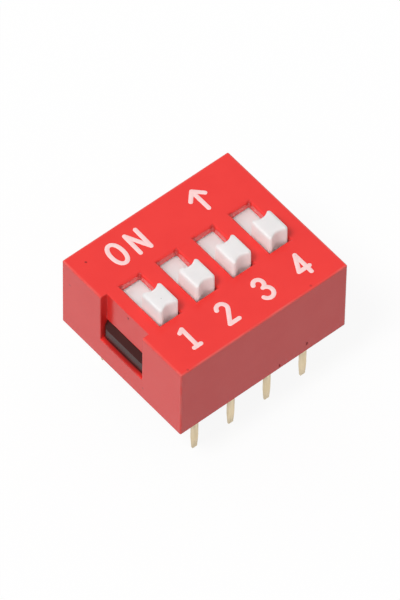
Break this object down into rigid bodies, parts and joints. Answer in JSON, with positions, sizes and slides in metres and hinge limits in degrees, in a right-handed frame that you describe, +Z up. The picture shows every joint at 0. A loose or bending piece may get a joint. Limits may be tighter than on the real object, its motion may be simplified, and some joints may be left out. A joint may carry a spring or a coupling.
{
  "type": "dip switch",
  "caption": "Low red dual in-line slide switch: white scooped knobs slide in slots in the cover, over a black snap-in base with two rows of flat through-hole pins.",
  "frame": {"origin": "middle of the footprint, on the board's surface where the cover's rim sits", "axes": "+X along the row of poles from the first to the last, +Y towards the ON side, +Z up out of the board"},
  "size_m": [0.0116, 0.01, 0.0104],
  "materials": {
    "cover": "moulded red plastic, satin",
    "base": "moulded black plastic, satin",
    "slider": "moulded white plastic, satin",
    "contact": "gold-plated spring bronze",
    "terminal": "thinly gold-plated brass strip, matt"
  },
  "bodies": {
    "housing": {"cover": "cover", "base": "base", "terminal_front_1": "terminal", "terminal_front_2": "terminal", "terminal_front_3": "terminal", "terminal_front_4": "terminal", "terminal_back_1": "terminal", "terminal_back_2": "terminal", "terminal_back_3": "terminal", "terminal_back_4": "terminal"},
    "pole_1": {"slider_1": "slider", "contact_1": "contact"},
    "pole_2": {"slider_2": "slider", "contact_2": "contact"},
    "pole_3": {"slider_3": "slider", "contact_3": "contact"},
    "pole_4": {"slider_4": "slider", "contact_4": "contact"}
  },
  "joints": [
    {"name": "slider_1_travel", "type": "slide", "parent": "housing", "child": "pole_1", "axis": [0, 1, 0], "range_m": [0, 0.00164]},
    {"name": "slider_2_travel", "type": "slide", "parent": "housing", "child": "pole_2", "axis": [0, 1, 0], "range_m": [0, 0.00164]},
    {"name": "slider_3_travel", "type": "slide", "parent": "housing", "child": "pole_3", "axis": [0, 1, 0], "range_m": [0, 0.00164]},
    {"name": "slider_4_travel", "type": "slide", "parent": "housing", "child": "pole_4", "axis": [0, 1, 0], "range_m": [0, 0.00164]}
  ]
}
